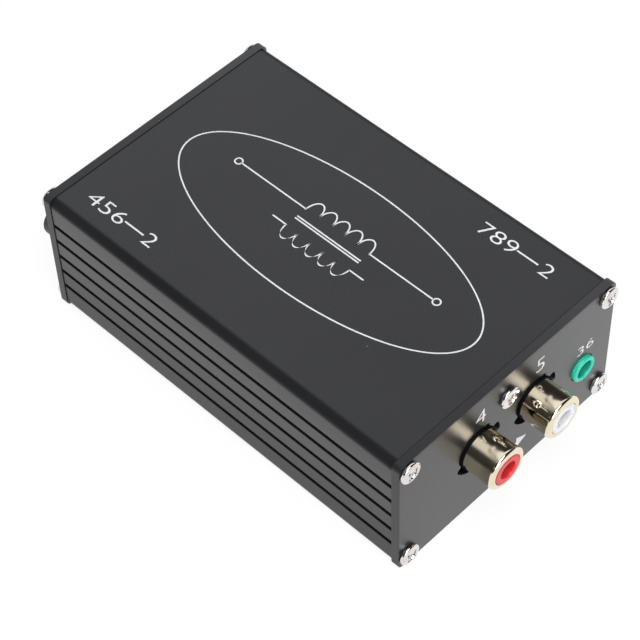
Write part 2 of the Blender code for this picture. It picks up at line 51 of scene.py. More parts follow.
def addObject(name, data):
    made = bpy.data.objects.new(name, data)
    bpy.context.collection.objects.link(made)
    return made


# Camera, at the photograph's angle

view = {
    "place": (-163.94, -168.92, 296.87),  # mm
    "turn": (38.980, 1.475, -45.681),  # degrees
    "lens": 119.98,
    "sensor": 36.0,
    "clip": 0.01,
}
camera = addObject("camera", bpy.data.cameras.new("camera"))
camera.location = Vector(view["place"]) * mm
camera.rotation_euler = [math.radians(angle) for angle in view["turn"]]
camera.data.lens = view["lens"]
camera.data.sensor_width = view["sensor"]
camera.data.clip_start = view["clip"]
bpy.context.scene.camera = camera
bpy.context.scene.view_settings.view_transform = "Standard"


# Shading helpers

def startMaterial(name, color, roughness, metallic=0.0, more=None):
    made = bpy.data.materials.new(name)
    made.use_nodes = True
    shader = made.node_tree.nodes["Principled BSDF"]
    shader.inputs["Base Color"].default_value = (*color, 1.0)
    shader.inputs["Roughness"].default_value = roughness
    shader.inputs["Metallic"].default_value = metallic
    for socket, value in (more or {}).items():
        shader.inputs[socket].default_value = value
    return made


def addNode(mat, kind, values=None, **properties):
    node = mat.node_tree.nodes.new("ShaderNode" + kind)
    for name, value in properties.items():
        setattr(node, name, value)
    for socket, value in (values or {}).items():
        node.inputs[socket].default_value = value
    return node


def link(mat, fromSocket, toSocket):
    mat.node_tree.links.new(fromSocket, toSocket)


def feed(mat, fromSocket, shaderInput):
    link(mat, fromSocket, mat.node_tree.nodes["Principled BSDF"].inputs[shaderInput])


def objectSpace(mat, scale=(1, 1, 1), turn=(0, 0, 0), shift=(0, 0, 0)):
    coords = addNode(mat, "TexCoord")
    mapping = addNode(mat, "Mapping", {"Scale": scale, "Rotation": turn, "Location": shift})
    link(mat, coords.outputs["Object"], mapping.inputs["Vector"])
    return mapping.outputs["Vector"]


def noiseAt(mat, vector, scale, detail=3.0):
    node = addNode(mat, "TexNoise", {"Scale": scale, "Detail": detail, "Roughness": 0.5})
    link(mat, vector, node.inputs["Vector"])
    return node.outputs["Fac"]


def ramp(mat, factor, stops):
    node = addNode(mat, "ValToRGB")
    elements = node.color_ramp.elements
    while len(elements) < len(stops):
        elements.new(0.5)
    for element, (position, color) in zip(elements, stops):
        element.position = position
        element.color = (*color, 1.0)
    link(mat, factor, node.inputs["Fac"])
    return node.outputs["Color"]


def spread(mat, factor, low, high, fromLow=0.3, fromHigh=0.7):
    node = addNode(mat, "MapRange", {"From Min": fromLow, "From Max": fromHigh,
                                     "To Min": low, "To Max": high})
    link(mat, factor, node.inputs["Value"])
    return node.outputs["Result"]


def bumpFrom(mat, height, distance, under=None):
    node = addNode(mat, "Bump", {"Strength": 1.0, "Distance": distance})
    link(mat, height, node.inputs["Height"])
    if under is not None:
        link(mat, under, node.inputs["Normal"])
    return node.outputs["Normal"]


# Finishes

def roughen(mat, factor, roughness, strays):
    feed(mat, spread(mat, factor, roughness - strays, roughness + strays), "Roughness")


def anodised(name, settings):
    more = {"IOR": settings["ior"]}
    mat = startMaterial(name, settings["color"], settings["roughness"], 0.0, more)
    space = objectSpace(mat)
    clouds = noiseAt(mat, space, settings["cloudScale"], 4.0)
    dark = settings["color"]
    light = [channel * settings["cloudLift"] for channel in dark]
    tone = ramp(mat, clouds, ((0.35, dark), (0.7, light)))
    specks = addNode(mat, "TexVoronoi", {"Scale": settings["dustScale"]})
    link(mat, space, specks.inputs["Vector"])
    dust = spread(mat, specks.outputs["Distance"], 1.0, 0.0, 0.0, settings["dustSize"])
    patches = noiseAt(mat, space, settings["dustScale"] * 0.37, 1.0)
    rare = spread(mat, patches, 0.0, 1.0, 0.6, 0.66)  # keeps only some of the specks
    both = addNode(mat, "Math", operation="MULTIPLY")
    link(mat, dust, both.inputs[0])
    link(mat, rare, both.inputs[1])
    mix = addNode(mat, "Mix", data_type="RGBA")
    mix.inputs[7].default_value = (*settings["dust"], 1.0)  # the second colour
    link(mat, both.outputs[0], mix.inputs[0])
    link(mat, tone, mix.inputs[6])
    feed(mat, mix.outputs[2], "Base Color")
    grain = noiseAt(mat, space, settings["grainScale"], 2.0)
    roughen(mat, grain, settings["roughness"], strays=0.04)
    lines = noiseAt(mat, objectSpace(mat, settings["lineStretch"]), settings["lineScale"], 2.0)
    normal = bumpFrom(mat, lines, settings["lineHeight"])
    feed(mat, bumpFrom(mat, grain, settings["grainHeight"], normal), "Normal")
    across = addNode(mat, "SeparateXYZ")  # painted light and shade: the specular level is set by position along the piece
    link(mat, space, across.inputs[0])
    paintedLightAndShade = addNode(mat, "Math", {0: 1.0, 1: 1.0}, operation="MULTIPLY")
    for number, (axis, start, stop, levels) in enumerate(settings["paintedLightAndShade"]):
        share = spread(mat, across.outputs[axis], 0.0, 1.0, start, stop)
        stops = [(position, (level, level, level)) for position, level in levels]
        link(mat, ramp(mat, share, stops), paintedLightAndShade.inputs[number])
    feed(mat, paintedLightAndShade.outputs[0], "Specular IOR Level")
    return mat


# Painted shade on the extrusion: its specular level falls toward the bottom of the sides and dips on
# the rounded long edges, a dark band
extrusionFinish = anodised("blackAnodisedExtrusion", {
    "color": (0.014, 0.0142, 0.015), "roughness": 0.28, "ior": 1.55,
    "paintedLightAndShade": (("Z", 0.0, 0.0279, ((0.0, 0.1), (0.57, 0.38), (0.932, 0.42), (0.962, 0.06),
                                  (0.996, 0.03), (0.999, 0.37))),),  # axis, from, to, levels
    "cloudScale": 35.0, "cloudLift": 1.25,
    "dust": (0.3, 0.3, 0.31), "dustScale": 260.0, "dustSize": 0.05,
    "grainScale": 5200.0, "grainHeight": 0.0000035,
    "lineStretch": (1.0, 0.004, 1.0), "lineScale": 2600.0, "lineHeight": 0.0000012,
})
# Painted light and shade on the plates: the specular level is lowest on the low-x side face, rises
# toward high x, and is lower on the top edge strip
plateFinish = anodised("blackAnodisedPlate", {
    "color": (0.014, 0.0142, 0.0148), "roughness": 0.33, "ior": 1.65,
    "paintedLightAndShade": (("X", -0.0262, 0.0262, ((0.0, 0.18), (0.004, 0.18), (0.007, 0.42), (0.5, 0.53),
                                      (0.85, 0.78), (1.0, 0.8))),
              ("Z", 0.0, 0.0281, ((0.97, 1.0), (0.99, 0.55)))),
    "cloudScale": 60.0, "cloudLift": 1.2,
    "dust": (0.3, 0.3, 0.31), "dustScale": 300.0, "dustSize": 0.045,
    "grainScale": 5200.0, "grainHeight": 0.0000004,
    "lineStretch": (0.01, 1.0, 1.0), "lineScale": 3000.0, "lineHeight": 0.00000025,
})


def metal(name, settings):
    mat = startMaterial(name, settings["color"], settings["roughness"], 1.0)
    space = objectSpace(mat)
    clouds = noiseAt(mat, space, settings["cloudScale"], 4.0)
    dull = [channel * settings["dulling"] for channel in settings["color"]]
    feed(mat, ramp(mat, clouds, ((0.3, dull), (0.65, settings["color"]))), "Base Color")
    smooth, rough = settings["roughness"] * 0.8, settings["roughness"] * 1.25
    feed(mat, spread(mat, clouds, smooth, rough), "Roughness")
    marks = noiseAt(mat, objectSpace(mat, settings["lineStretch"]), settings["lineScale"], 2.0)
    feed(mat, bumpFrom(mat, marks, settings["lineHeight"]), "Normal")
    return mat


goldFinish = metal("paleGoldPlating", {
    "color": (0.86, 0.76, 0.57), "roughness": 0.09, "cloudScale": 300.0, "dulling": 0.9,
    "lineStretch": (0.02, 1.0, 0.02), "lineScale": 9000.0, "lineHeight": 0.0000003,
})
nickelFinish = metal("nickelPlating", {
    "color": (0.82, 0.79, 0.78), "roughness": 0.12, "cloudScale": 500.0, "dulling": 0.8,
    "lineStretch": (1.0, 1.0, 1.0), "lineScale": 1600.0, "lineHeight": 0.000006,
})
tinFinish = metal("tinnedContact", {
    "color": (0.68, 0.67, 0.64), "roughness": 0.3, "cloudScale": 400.0, "dulling": 0.75,
    "lineStretch": (1.0, 1.0, 0.05), "lineScale": 4000.0, "lineHeight": 0.000002,
})


def moulded(name, settings):
    more = {"Subsurface Weight": settings["glow"], "Subsurface Radius": settings["glowReach"],
            "Subsurface Scale": settings["glowScale"], "IOR": 1.5,
            "Specular IOR Level": settings["shine"]}
    mat = startMaterial(name, settings["color"], settings["roughness"], 0.0, more)
    space = objectSpace(mat)
    clouds = noiseAt(mat, space, settings["cloudScale"], 3.0)
    deep = [channel * settings["deepening"] for channel in settings["color"]]
    feed(mat, ramp(mat, clouds, ((0.3, deep), (0.7, settings["color"]))), "Base Color")
    grain = noiseAt(mat, space, settings["grainScale"], 2.0)
    roughen(mat, grain, settings["roughness"], strays=0.05)
    feed(mat, bumpFrom(mat, grain, settings["grainHeight"]), "Normal")
    return mat


def plastic(name, color, roughness, glow=0.0, glowReach=(1.0, 1.0, 1.0), shine=0.5):
    return moulded(name, {
        "color": color, "shine": shine, "roughness": roughness,
        "glow": glow, "glowReach": glowReach, "glowScale": 0.0022,
        "cloudScale": 250.0, "deepening": 0.88, "grainScale": 3800.0, "grainHeight": 0.000003,
    })


redFinish = plastic("redMoulding", (0.70, 0.035, 0.04), 0.34, 0.8, (1.0, 0.12, 0.1))
whiteFinish = plastic("whiteMoulding", (0.87, 0.88, 0.91), 0.34, 0.8)
greenFinish = plastic("greenMoulding", (0.03, 0.6, 0.44), 0.34, 0.3, (0.3, 1.0, 0.7))
blackFinish = plastic("blackMoulding", (0.014, 0.014, 0.015), 0.45)
# Painted shade: the housing's moulding is darker and duller than the other black mouldings, standing
# in for the shaded gap round each barrel
housingPaintedShade = plastic("housingMouldingPaintedShade", (0.003, 0.003, 0.0035), 0.6, shine=0.12)
inkFinish = plastic("whiteInk", (0.82, 0.82, 0.82), 0.5)
tapeFinish = plastic("yellowTape", (0.75, 0.52, 0.05), 0.35)


def layered(name, settings):
    mat = startMaterial(name, settings["color"], settings["roughness"], settings["metallic"])
    look = {"Scale": settings["layerScale"], "Distortion": 0.4, "Detail": 2.0}
    wave = addNode(mat, "TexWave", look, bands_direction=settings["layerAxis"])
    link(mat, objectSpace(mat), wave.inputs["Vector"])
    seam = [channel * 0.5 for channel in settings["color"]]
    stops = ((0.05, seam), (0.3, settings["color"]))
    feed(mat, ramp(mat, wave.outputs["Fac"], stops), "Base Color")
    feed(mat, bumpFrom(mat, wave.outputs["Fac"], settings["layerHeight"]), "Normal")
    return mat


coreFinish = layered("laminatedIron", {
    "color": (0.13, 0.13, 0.135), "roughness": 0.45, "metallic": 0.6,
    "layerAxis": "Y", "layerScale": 450.0, "layerHeight": 0.00002,
})
boardFinish = layered("greenLaminate", {
    "color": (0.015, 0.15, 0.05), "roughness": 0.4, "metallic": 0.0,
    "layerAxis": "X", "layerScale": 700.0, "layerHeight": 0.000004,
})
print("finishes made")


# Mesh helpers

def opened(mesh):
    bm = bmesh.new()
    bm.from_mesh(mesh)
    return bm


def meshFrom(bm, name):
    mesh = bpy.data.meshes.new(name)
    bm.to_mesh(mesh)
    bm.free()
    return mesh


def spin(name, profile, steps, close=False, softAngle=30.0, soften=0.0, segments=2):
    bm = bmesh.new()
    verts = [bm.verts.new((radius * mm, -out * mm, 0)) for radius, out in profile]
    edges = [bm.edges.new(pair) for pair in zip(verts, verts[1:])]
    if close:
        edges.append(bm.edges.new((verts[-1], verts[0])))
    bmesh.ops.spin(bm, geom=verts + edges, cent=(0, 0, 0), axis=(0, 1, 0), dvec=(0, 0, 0),
                   angle=2 * math.pi, steps=steps, use_merge=True, use_duplicate=False)
    bmesh.ops.remove_doubles(bm, verts=bm.verts, dist=1e-7)
    bmesh.ops.recalc_face_normals(bm, faces=bm.faces)
    if soften:
        softenEdges(bm, soften, segments, softAngle)
    return meshFrom(bm, name)


def ease(bm, edges, width, segments):
    bmesh.ops.bevel(bm, geom=edges, offset=width * mm, offset_type="OFFSET", segments=segments,
                    profile=0.5, affect="EDGES", material=-1, clamp_overlap=True)


def softenEdges(bm, width, segments, softAngle=30.0):
    sharp = [edge for edge in bm.edges
             if edge.is_manifold and edge.calc_face_angle() > math.radians(softAngle)]
    ease(bm, sharp, width, segments)


def quarter(steps):
    # The angles of a quarter turn, in even steps
    return [math.radians(90 * i / steps) for i in range(steps + 1)]


def block(name, low, high):
    bm = bmesh.new()
    bmesh.ops.create_cube(bm, size=1.0)
    size = Vector(high) - Vector(low)
    bmesh.ops.scale(bm, vec=size * mm, verts=bm.verts)
    bmesh.ops.translate(bm, vec=(Vector(high) + Vector(low)) / 2 * mm, verts=bm.verts)
    return meshFrom(bm, name)


def evaluated(item):
    bpy.context.view_layer.update()
    depsgraph = bpy.context.evaluated_depsgraph_get()
    return bpy.data.meshes.new_from_object(item.evaluated_get(depsgraph))


def combine(name, base, others, operation):
    body = addObject(name, base)
    spent = [body]
    for other in others:
        tool = addObject(name + "Tool", other)
        step = body.modifiers.new("step", "BOOLEAN")
        step.operation = operation
        step.object = tool
        spent.append(tool)
    made = evaluated(body)
    made.name = name
    for item in spent:
        bpy.data.objects.remove(item)
    return made


def moved(mesh, matrix):
    copy = mesh.copy()
    copy.transform(matrix)
    return copy


sharpAngle = math.radians(38)


def place(name, mesh, finish, stands=None, weighted=False):
    piece = addObject(name, mesh)
    mesh.materials.clear()
    mesh.materials.append(finish)
    mesh.shade_smooth()
    if weighted:
        piece.modifiers.new("flatFaces", "WEIGHTED_NORMAL").keep_sharp = True
    else:
        mesh.set_sharp_from_angle(angle=sharpAngle)
    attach(piece, "root")
    if stands:
        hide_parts(stands)
    return piece


def paint(piece, finish, inside):
    # A second finish where inside(x, y, z in mm) holds for a face's middle
    piece.data.materials.append(finish)
    for face in piece.data.polygons:
        if inside(*(face.center / mm)):
            face.material_index = 1


def refine(node, name, finish, width, shape):
    # The CAD mesh with its flat faces joined up, shaped further, and its edges eased
    bm = opened(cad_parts[node].data)
    bmesh.ops.remove_doubles(bm, verts=bm.verts, dist=1e-6)
    bmesh.ops.dissolve_limit(bm, angle_limit=math.radians(0.5), verts=bm.verts, edges=bm.edges)
    shape(bm)
    softenEdges(bm, width, 2, 40.0)
    return place(name, meshFrom(bm, name), finish, node, True)


# Case and end plates: the CAD shapes with their edges eased

caseShape = {
    "edge": 0.05, "side": 26.0, "end": 39.9, "seam": 0.1,
    "grooves": {"inside": 25.2, "from": 4.5, "to": 22.0, "pitch": 3.95, "first": 5.46,
                "lowEdge": 0.42, "highEdge": 0.62},
    "dark": {"shallow": 0.06, "deep": 0.8, "low": 3.0, "high": 25.0},  # the grooves' faces, which take a painted shade
}
plateShape = {
    "edge": 0.1,
    "notch": {"reach": 5.45, "within": 0.03, "angle": 45, "round": 0.6, "segments": 4},
}


def roundNotches(bm):
    # The punched notches' outer corners are round
    notch = plateShape["notch"]
    sockets = [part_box(f"{end}_phono_insulator_{color}")
               for end, turn in ends for color in ("red", "white")]
    spots = [((low.x + high.x) / 2, (low.z + high.z) / 2) for low, high in sockets]
    corners = []
    for edge in bm.edges:
        first, second = (vert.co for vert in edge.verts)
        reaches = [math.hypot(first.x - x, first.z - z) for x, z in spots]
        through = (first.xz - second.xz).length < 1e-6  # runs straight through the plate
        if through and edge.calc_face_angle(0) > math.radians(notch["angle"]):
            if any(abs(reach - notch["reach"] * mm) < notch["within"] * mm for reach in reaches):
                corners.append(edge)
    ease(bm, corners, notch["round"], notch["segments"])


def shapeCase(bm):
    # The photo's grooves stand higher and are wider than the solid's; a fine seam shows in front
    grooves = caseShape["grooves"]
    for vert in bm.verts:
        height = vert.co.z / mm
        if vert.co.y < -caseShape["end"] * mm:
            vert.co.y += caseShape["seam"] * mm
        if abs(vert.co.x) > grooves["inside"] * mm and grooves["from"] < height < grooves["to"]:
            nearest = round((height - grooves["first"]) / grooves["pitch"])
            centre = grooves["first"] + grooves["pitch"] * nearest
            vert.co.z += (grooves["highEdge"] if height > centre else grooves["lowEdge"]) * mm


def insideGroove(x, y, z):
    dark, side = caseShape["dark"], caseShape["side"]
    return side - dark["deep"] < abs(x) < side - dark["shallow"] and dark["low"] < z < dark["high"]


# Painted shade: the groove faces get a near-black, duller finish for the shade inside the grooves
paintedGrooveShade = plastic("grooveFloorPaintedShade", (0.006, 0.006, 0.0062), 0.75, shine=0.2)
case = refine("case_shell", "caseShell", extrusionFinish, caseShape["edge"], shapeCase)
paint(case, paintedGrooveShade, insideGroove)
for end, turn in ends:
    refine(f"{end}_end_plate", f"{end}EndPlate", plateFinish, plateShape["edge"],
           roundNotches)
print("case and plates made")


# Screws

screwShape = {
    "headRadius": 2.1, "headTop": 1.08, "domeBow": 0.9, "edgeTop": 0.6, "facets": 48,
    "seat": 0.1, "seatRise": 0.3, "undercut": 0.15,
    "shank": 0.98, "root": 0.8, "tip": -6.4, "tipShare": 0.6, "plainTip": 1.0,
    "threadPitch": 0.5, "flankShare": 0.3,
    "slotReach": 1.7, "slotWidth": 0.66, "slotFloor": 0.5, "slotTaper": (0.6, 0.7),
    "slotEdge": 0.06, "lipAngle": 35, "lipBeyond": 0.15,
    "coneRadius": 0.95, "coneTaper": 0.1, "coneRise": 0.3, "coneSink": 0.15, "coneFacets": 24,
    "over": 0.5,  # how far the cutting tools stand over the head
}


def makeWing(shape, turned):
    # One arm of the cross recess, narrower at its floor
    bm = bmesh.new()
    bmesh.ops.create_cube(bm, size=1.0)
    low, high = -shape["headTop"] - shape["over"], -shape["slotFloor"]
    size = (2 * shape["slotReach"] * mm, (high - low) * mm, shape["slotWidth"] * mm)
    bmesh.ops.scale(bm, vec=size, verts=bm.verts)
    along, across = shape["slotTaper"]
    bmesh.ops.scale(bm, vec=(along, 1, across), verts=[vert for vert in bm.verts if vert.co.y > 0])
    bmesh.ops.translate(bm, vec=(0, (low + high) / 2 * mm, 0), verts=bm.verts)
    bmesh.ops.rotate(bm, verts=bm.verts, cent=(0, 0, 0),
                     matrix=Matrix.Rotation(math.radians(turned), 3, "Y"))
    return meshFrom(bm, "wing")


def makeScrew(shape):
    profile = [(shape["headRadius"] * math.sin(angle) ** shape["domeBow"],
                shape["edgeTop"] + (shape["headTop"] - shape["edgeTop"]) * math.cos(angle))
               for angle in quarter(8)]
    profile += [(shape["headRadius"], shape["seat"] + shape["seatRise"]),
                (shape["headRadius"] - shape["undercut"], shape["seat"]),
                (shape["root"], shape["seat"])]
    flank = shape["threadPitch"] * shape["flankShare"]
    out = shape["seat"] - shape["threadPitch"]
    while out > shape["tip"] + shape["plainTip"]:
        profile += [(shape["root"], out + flank), (shape["shank"], out),
                    (shape["root"], out - flank)]
        out -= shape["threadPitch"]
    profile += [(shape["root"] * shape["tipShare"], shape["tip"]), (0, shape["tip"])]
    body = spin("screw", profile, shape["facets"])
    wings = [makeWing(shape, turned) for turned in (0, 90)]
    top, taper = shape["headTop"] + shape["over"], shape["coneTaper"]
    cone = spin("cone", [(0, top), (shape["coneRadius"] * (1 + taper), top),
                         (shape["coneRadius"] * (1 - taper), shape["slotFloor"] + shape["coneRise"]),
                         (0, shape["slotFloor"] - shape["coneSink"])], shape["coneFacets"])
    recess = combine("recess", wings[0], [wings[1], cone], "UNION")
    bm = opened(combine("screw", body, [recess], "DIFFERENCE"))
    reach, low = (shape["slotReach"] + shape["lipBeyond"]) * mm, shape["edgeTop"] * mm
    lips = [edge for edge in bm.edges
            if edge.is_manifold and edge.calc_face_angle() > math.radians(shape["lipAngle"])
            and all(vert.co.xz.length < reach and -vert.co.y > low for vert in edge.verts)]
    ease(bm, lips, shape["slotEdge"], 2)
    return meshFrom(bm, "screw")


screwMesh = makeScrew(screwShape)
screwTurns = {"corner_screw_1": 44.0, "corner_screw_2": 37.0, "corner_screw_3": 43.0,
              "corner_screw_4": 32.0, "socket_screw": 30.0}  # degrees


def centreOf(node):
    low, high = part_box(node)
    middle = (low + high) / 2
    return Vector((middle.x, -plateFace * mm, middle.z))


for end, turn in ends:
    for screw, angle in screwTurns.items():
        spot = Matrix.Translation(centreOf(f"front_{screw}"))
        matrix = turn @ spot @ Matrix.Rotation(math.radians(angle), 4, "Y")
        place(f"{end}_{screw}_head", moved(screwMesh, matrix), nickelFinish,
              f"{end}_{screw}")
print("screws made")


# Phono sockets

phonoShell = {
    "bore": 3.02, "neck": 3.5, "back": -7.3, "step": 0.45, "stepEdge": 0.08, "barrel": 4.0,
    "coveStart": 3.8, "coveBend": 1.5, "rimOut": 6.0, "rimRadius": 4.15,
    "lipRise": 0.56, "lipEdge": 0.12, "lipInner": (0.03, 0.04), "facets": 192,
    "dimple": 0.6, "dimpleDepth": 0.07, "dimpleOut": 2.8, "dimpleRows": 18,
    "dimpleAngles": {"red": 60.0, "white": 131.0},
}
insulator = {
    "radius": 2.93, "front": 6.62, "shoulder": -7.1, "stem": 2.6, "back": -11.4, "bore": 2.16,
    "mouth": 1.75, "mouthBack": 4.35, "edge": 0.1, "mouthEdge": 0.14, "facets": 72,
}


def barrelProfile(shape):
    bore, barrel, rim = shape["bore"], shape["barrel"], shape["rimRadius"]
    step, chamfer = shape["step"], shape["stepEdge"]
    profile = [(bore, shape["back"]), (shape["neck"], shape["back"]), (shape["neck"], step),
               (barrel - chamfer, step), (barrel, step + chamfer)]
    for i in range(shape["dimpleRows"] + 1):  # close rows, which the dimple is pressed into
        share = 2 * i / shape["dimpleRows"] - 1
        profile.append((barrel, shape["dimpleOut"] + share * shape["dimple"]))
    for i in range(9):  # the flare out to the rim
        share = i / 8
        profile.append((barrel + (rim - barrel) * share ** shape["coveBend"],
                        shape["coveStart"] + share * (shape["rimOut"] - shape["coveStart"])))
    wide = rim - bore - shape["lipEdge"]
    for angle in quarter(12)[1:]:  # the lip rolls over towards the bore
        profile.append((rim - wide * (1 - math.cos(angle)),
                        shape["rimOut"] + shape["lipRise"] * math.sin(angle)))
    top = shape["rimOut"] + shape["lipRise"]
    inward, down = shape["lipInner"]
    return profile + [(bore + inward, top - down), (bore, top - shape["lipEdge"])]


def makePhonoShell(shape, dimpleAngle):
    bm = opened(spin("phonoShell", barrelProfile(shape), shape["facets"], True))
    for vert in bm.verts:
        radial = vert.co.xz.length / mm
        turned = math.atan2(vert.co.z, vert.co.x) - math.radians(dimpleAngle)
        around = math.remainder(turned, 2 * math.pi) * radial
        share = math.hypot(around, -vert.co.y / mm - shape["dimpleOut"]) / shape["dimple"]
        if share < 1 and abs(radial - shape["barrel"]) < 0.001:  # only the barrel's outer face
            pressed = 1 - shape["dimpleDepth"] * (1 - share ** 2) ** 2 / radial
            vert.co.x *= pressed
            vert.co.z *= pressed
    return meshFrom(bm, "phonoShell")


def makeInsulator(shape):
    edge, mouthEdge = shape["edge"], shape["mouthEdge"]
    profile = [(shape["mouth"] + mouthEdge, shape["front"])]
    profile += [(shape["radius"] - edge + edge * math.sin(angle),
                 shape["front"] - edge + edge * math.cos(angle)) for angle in quarter(4)]
    profile += [(shape["radius"], shape["shoulder"]), (shape["stem"], shape["shoulder"]),
                (shape["stem"], shape["back"]), (shape["bore"], shape["back"]),
                (shape["bore"], shape["mouthBack"]), (shape["mouth"], shape["mouthBack"])]
    profile += [(shape["mouth"] + mouthEdge - mouthEdge * math.cos(angle),
                 shape["front"] - mouthEdge + mouthEdge * math.sin(angle)) for angle in quarter(4)]
    return spin("insulator", profile[:-1], shape["facets"], True)


insulatorMesh = makeInsulator(insulator)
for color, finish in (("red", redFinish), ("white", whiteFinish)):
    shellMesh = makePhonoShell(phonoShell, phonoShell["dimpleAngles"][color])
    spot = Matrix.Translation(centreOf(f"front_phono_insulator_{color}"))
    for end, turn in ends:
        place(f"{end}PhonoShell_{color}", moved(shellMesh, turn @ spot), goldFinish,
              f"{end}_phono_shell_{color}")
        place(f"{end}PhonoInsulator_{color}", moved(insulatorMesh, turn @ spot), finish,
              f"{end}_phono_insulator_{color}")
print("phono sockets made")


# 3.5 mm jacks and the rear one's cap

jack = {
    "x": 19.0, "z": 11.5, "low": (15.9, 8.5), "high": (22.1, 14.6), "front": -1.9, "back": -13.9,
    "edge": 0.3, "facets": 64,
    "collar": 2.6, "out": 0.8, "sink": 1.0, "rim": 0.34, "rimSegments": 5,
    "bore": 1.75, "boreEnd": 1.2, "mouth": 1.8, "mouthDepth": 0.6,
    "flare": ((0.5, 0.4), (0.22, 0.01), (0.07, -0.08), (0.0, -0.25)),  # wider than the mouth, out
    # darkEdge and darkFrom bound the bore's painted shade
    "darkEdge": 0.02, "darkFrom": 0.2,
}
cap = {
    "radius": 3.4, "out": 7.4, "edge": 0.35, "seat": 0.3, "well": 2.85, "roof": 1.1,
    "stem": 1.5, "tip": -6.0, "facets": 72,
}


def makeJack(shape):
    shift = Matrix.Translation((shape["x"] * mm, -plateFace * mm, shape["z"] * mm))
    (x0, z0), (x1, z1) = shape["low"], shape["high"]
    bm = opened(block("jackBody", (x0, -plateFace - shape["front"], z0),
                      (x1, -plateFace - shape["back"], z1)))
    softenEdges(bm, shape["edge"], 3)
    body = meshFrom(bm, "jackBody")
    foot = shape["front"] - shape["sink"]
    sleeve = [(0, foot), (shape["collar"], foot), (shape["collar"], shape["out"]),
              (0, shape["out"])]
    collar = moved(spin("collar", sleeve, shape["facets"], False, 40.0, shape["rim"],
                        shape["rimSegments"]), shift)
    end = shape["back"] + shape["boreEnd"]
    hole = [(0, shape["out"] + shape["flare"][0][1])]
    hole += [(shape["mouth"] + wider, shape["out"] + out) for wider, out in shape["flare"]]
    hole += [(shape["bore"], shape["out"] - shape["mouthDepth"]), (shape["bore"], end), (0, end)]
    bore = moved(spin("bore", hole, shape["facets"]), shift)
    solid = combine("jackBody", body, [collar], "UNION")
    return combine("jackBody", solid, [bore], "DIFFERENCE")


def makeCap(shape):
    profile = [(0, shape["out"]), (shape["radius"], shape["out"]), (shape["radius"], shape["seat"]),
               (shape["well"], shape["seat"]), (shape["well"], shape["roof"]),
               (shape["stem"], shape["roof"]), (shape["stem"], shape["tip"]), (0, shape["tip"])]
    bm = opened(spin("cap", profile, shape["facets"]))
    outer = [edge for edge in bm.edges if edge.calc_face_angle() > math.radians(60)
             and all(vert.co.y < -(shape["out"] - 0.01) * mm for vert in edge.verts)]
    ease(bm, outer, shape["edge"], 6)
    return meshFrom(bm, "cap")


def insideBore(x, y, z):
    radial = math.hypot(abs(x) - jack["x"], z - jack["z"])
    outermost = plateFace + jack["out"] - jack["darkFrom"]
    return radial < jack["mouth"] + jack["darkEdge"] and abs(y) < outermost


jackMesh = makeJack(jack)
# Painted shade: the bore's walls take a darker green than the jack's face
paintedBoreShade = plastic("greenBorePaintedShade", (0.006, 0.36, 0.25), 0.4, 0.1, (0.3, 1.0, 0.7))
for end, turn in ends:
    body = place(f"{end}JackBody", moved(jackMesh, turn), greenFinish, f"{end}_jack_body")
    paint(body, paintedBoreShade, insideBore)
capSpot = Matrix.Translation((jack["x"] * mm, -plateFace * mm, jack["z"] * mm))
place("rearJackCap", moved(makeCap(cap), halfTurn @ capSpot), blackFinish,
      "rear_jack_cap")
print("jacks made")


# Phono housings: only the ring round each barrel shows, and it stands lower than on the solids; its
# near-black finish is painted shade

housing = {"out": 0.4, "edge": 0.04}


def lowerBosses(bm):
    reach = (plateFace + housing["out"]) * mm
    for vert in bm.verts:
        if abs(vert.co.y) > reach:
            vert.co.y = math.copysign(reach, vert.co.y)


for end, turn in ends:
    refine(f"{end}_phono_housing", f"{end}PhonoHousing", housingPaintedShade,
           housing["edge"], lowerBosses)
print("phono housings made")


# Inner pieces keep their CAD shapes

innerFinishes = {
    "bobbin": blackFinish, "contact": tinFinish, "_pin_": tinFinish,
    "circuit_board": boardFinish, "core": coreFinish, "winding": tapeFinish,
}
for name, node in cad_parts.items():
    for words, finish in innerFinishes.items():
        if words in name:
            for socket in node.material_slots:
                socket.material = finish
print("inner pieces dressed")


# Print

ink = {"lift": 0.015, "sink": 0.01, "line": 0.28, "thinner": -0.011}
topTurn = Matrix(((0, 1, 0, 0), (-1, 0, 0, 0), (0, 0, 1, 0), (0, 0, 0, 1)))
frontTurn = Matrix(((1, 0, 0, 0), (0, 0, -1, 0), (0, 1, 0, 0), (0, 0, 0, 1)))
topPlane = Matrix.Translation((0, 0, caseTop * mm)) @ topTurn
frontPlane = Matrix.Translation((0, -plateFace * mm, 0)) @ frontTurn


def inkText(text, left, right, low, high):
    curve = bpy.data.curves.new("text", "FONT")
    curve.body = text
    curve.offset = ink["thinner"]
    holder = addObject("text", curve)
    mesh = evaluated(holder)
    bpy.data.objects.remove(holder)
    xs = [vert.co.x for vert in mesh.vertices]
    ys = [vert.co.y for vert in mesh.vertices]
    scaleX = (right - left) * mm / (max(xs) - min(xs))
    scaleY = (high - low) * mm / (max(ys) - min(ys))
    shift = Matrix.Translation((left * mm - min(xs) * scaleX, low * mm - min(ys) * scaleY, 0))
    mesh.transform(shift @ Matrix.Diagonal((scaleX, scaleY, 1, 1)))
    bm = opened(mesh)
    bmesh.ops.remove_doubles(bm, verts=bm.verts, dist=1e-6)
    return bm


def thicken(bm):
    for vert in bm.verts:
        vert.co.z = -ink["sink"] * mm
    everything = bm.faces[:] + bm.edges[:] + bm.verts[:]
    grown = bmesh.ops.extrude_face_region(bm, geom=everything, use_keep_orig=True)
    top = [item for item in grown["geom"] if isinstance(item, bmesh.types.BMVert)]
    bmesh.ops.translate(bm, verts=top, vec=(0, 0, (ink["lift"] + ink["sink"]) * mm))
    bmesh.ops.recalc_face_normals(bm, faces=bm.faces)


